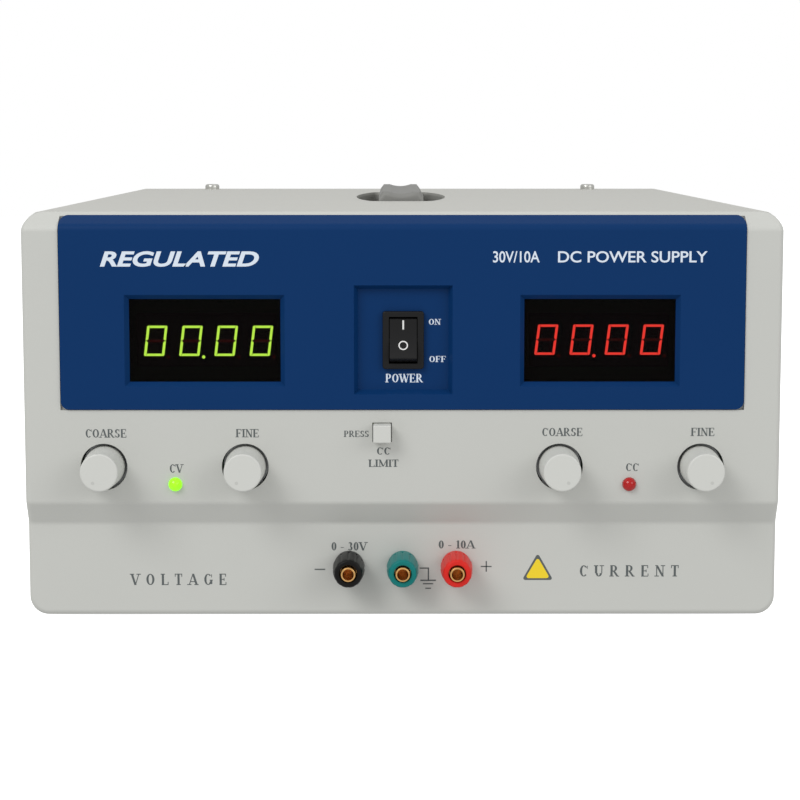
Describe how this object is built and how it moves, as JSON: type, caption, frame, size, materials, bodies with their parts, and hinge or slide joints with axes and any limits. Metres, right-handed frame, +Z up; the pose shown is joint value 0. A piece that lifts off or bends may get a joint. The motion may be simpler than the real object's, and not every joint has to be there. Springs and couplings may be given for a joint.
{
  "type": "bench dc power supply",
  "caption": "Bench direct-current power supply with paired digital read-outs, coarse and fine dials, rocker switch, screw-cap output posts and a pull-up carrying handle.",
  "frame": {"origin": "centre of the bounding box in plan, at the underside of the feet", "axes": "+X to the right seen from the front, the control panel faces -Y, +Z up"},
  "size_m": [0.2772, 0.387, 0.1574],
  "materials": {
    "case_abs": "fine moulded texture",
    "case_paint": "satin light grey paint",
    "blue_abs": "semi gloss",
    "window": "smoked clear plastic",
    "display": "dark epoxy",
    "circuit_board": "solder mask",
    "black_plastic": "moulded",
    "knob_plastic": "satin",
    "steel": "plain",
    "nickel": "bright",
    "green_lens": "translucent",
    "red_lens": "translucent",
    "post_black": "semi gloss",
    "post_green": "semi gloss",
    "post_red": "semi gloss",
    "brass": "turned",
    "handle_plastic": "moulded",
    "rubber": "moulded",
    "core_steel": "varnished laminations",
    "winding": "wound tape",
    "capacitor": "sleeved",
    "aluminium": "extruded",
    "fuse_glass": "clear tube",
    "selector_red": "moulded"
  },
  "bodies": {
    "case": {"front_bezel": "case_abs", "blue_fascia": "blue_abs", "voltage_window": "window", "current_window": "window", "voltage_display": "display", "current_display": "display", "front_board": "circuit_board", "power_switch_body": "black_plastic", "potentiometers": "steel", "limit_switch": "black_plastic", "cv_led": "green_lens", "cc_led": "red_lens", "negative_collar": "post_black", "ground_collar": "post_green", "positive_collar": "post_red", "post_studs": "brass", "post_nuts": "nickel", "top_cover": "case_paint", "chassis_pan": "steel", "rear_panel": "case_paint", "handle_tray": "handle_plastic", "m4_screws": "nickel", "m3_screws": "nickel", "feet": "rubber", "transformer_core": "core_steel", "transformer_winding": "winding", "transformer_bracket": "steel", "main_board": "circuit_board", "standoffs": "nickel", "filter_capacitors": "capacitor", "board_components": "black_plastic", "heat_sink": "aluminium", "power_transistors": "black_plastic", "fan_frame": "black_plastic", "fan_guard": "nickel", "mains_inlet": "black_plastic", "fuse_holder": "black_plastic", "voltage_selector": "black_plastic"},
    "power_rocker": {"power_rocker": "black_plastic"},
    "limit_button": {"limit_button": "knob_plastic"},
    "carry_handle": {"carry_handle": "handle_plastic"},
    "fan_rotor": {"fan_rotor": "black_plastic"},
    "fuse": {"fuse": "fuse_glass"},
    "fuse_cap": {"fuse_cap": "black_plastic"},
    "selector_slider": {"selector_slider": "selector_red"},
    "voltage_coarse_control": {"voltage_coarse_knob": "knob_plastic", "voltage_coarse_shaft": "steel"},
    "voltage_fine_control": {"voltage_fine_knob": "knob_plastic", "voltage_fine_shaft": "steel"},
    "current_coarse_control": {"current_coarse_knob": "knob_plastic", "current_coarse_shaft": "steel"},
    "current_fine_control": {"current_fine_knob": "knob_plastic", "current_fine_shaft": "steel"},
    "negative_insert": {"negative_insert": "brass"},
    "negative_cap": {"negative_cap": "post_black"},
    "ground_insert": {"ground_insert": "brass"},
    "ground_cap": {"ground_cap": "post_green"},
    "positive_insert": {"positive_insert": "brass"},
    "positive_cap": {"positive_cap": "post_red"}
  },
  "joints": [
    {"name": "power_rocker_tilt", "type": "hinge", "parent": "case", "child": "power_rocker", "pos_m": [0.0003, -0.1756, 0.1072], "axis": [1, 0, 0], "range_deg": [0, 20]},
    {"name": "voltage_coarse_turn", "type": "hinge", "parent": "case", "child": "voltage_coarse_control", "pos_m": [-0.1086, -0.1785, 0.061], "axis": [0, 1, 0], "range_deg": [0, 300]},
    {"name": "voltage_fine_turn", "type": "hinge", "parent": "case", "child": "voltage_fine_control", "pos_m": [-0.0572, -0.1785, 0.061], "axis": [0, 1, 0], "range_deg": [0, 300]},
    {"name": "current_coarse_turn", "type": "hinge", "parent": "case", "child": "current_coarse_control", "pos_m": [0.0572, -0.1785, 0.061], "axis": [0, 1, 0], "range_deg": [-300, 0]},
    {"name": "current_fine_turn", "type": "hinge", "parent": "case", "child": "current_fine_control", "pos_m": [0.1086, -0.1785, 0.061], "axis": [0, 1, 0], "range_deg": [-300, 0]},
    {"name": "limit_button_press", "type": "slide", "parent": "case", "child": "limit_button", "axis": [0, 1, 0], "range_m": [0, 0.0025], "stiffness_N_per_m": 300, "springref_m": -0.001},
    {"name": "negative_travel", "type": "slide", "parent": "case", "child": "negative_insert", "axis": [0, -1, 0], "range_m": [0, 0.004]},
    {"name": "negative_unscrew", "type": "hinge", "parent": "negative_insert", "child": "negative_cap", "pos_m": [-0.0196, -0.1785, 0.0236], "axis": [0, -1, 0], "range_deg": [0, 1442]},
    {"name": "ground_travel", "type": "slide", "parent": "case", "child": "ground_insert", "axis": [0, -1, 0], "range_m": [0, 0.004]},
    {"name": "ground_unscrew", "type": "hinge", "parent": "ground_insert", "child": "ground_cap", "pos_m": [0.0001, -0.1785, 0.0236], "axis": [0, -1, 0], "range_deg": [0, 1442]},
    {"name": "positive_travel", "type": "slide", "parent": "case", "child": "positive_insert", "axis": [0, -1, 0], "range_m": [0, 0.004]},
    {"name": "positive_unscrew", "type": "hinge", "parent": "positive_insert", "child": "positive_cap", "pos_m": [0.0198, -0.1785, 0.0236], "axis": [0, -1, 0], "range_deg": [0, 1442]},
    {"name": "handle_lift", "type": "slide", "parent": "case", "child": "carry_handle", "axis": [0, 0, 1], "range_m": [0, 0.012]},
    {"name": "fan_spin", "type": "hinge", "parent": "case", "child": "fan_rotor", "pos_m": [0.05, 0.1675, 0.09], "axis": [0, 1, 0], "continuous": true},
    {"name": "fuse_withdraw", "type": "slide", "parent": "case", "child": "fuse", "axis": [0, 1, 0], "range_m": [0, 0.03]},
    {"name": "fuse_cap_turn", "type": "hinge", "parent": "fuse", "child": "fuse_cap", "pos_m": [-0.06, 0.1835, 0.041], "axis": [0, -1, 0], "range_deg": [0, 60]},
    {"name": "voltage_selector_slide", "type": "slide", "parent": "case", "child": "selector_slider", "axis": [1, 0, 0], "range_m": [0, 0.006]}
  ],
  "couplings": [
    {"joint": "negative_unscrew", "follows": "negative_travel", "rad_per_m": 6283.2},
    {"joint": "ground_unscrew", "follows": "ground_travel", "rad_per_m": 6283.2},
    {"joint": "positive_unscrew", "follows": "positive_travel", "rad_per_m": 6283.2}
  ]
}
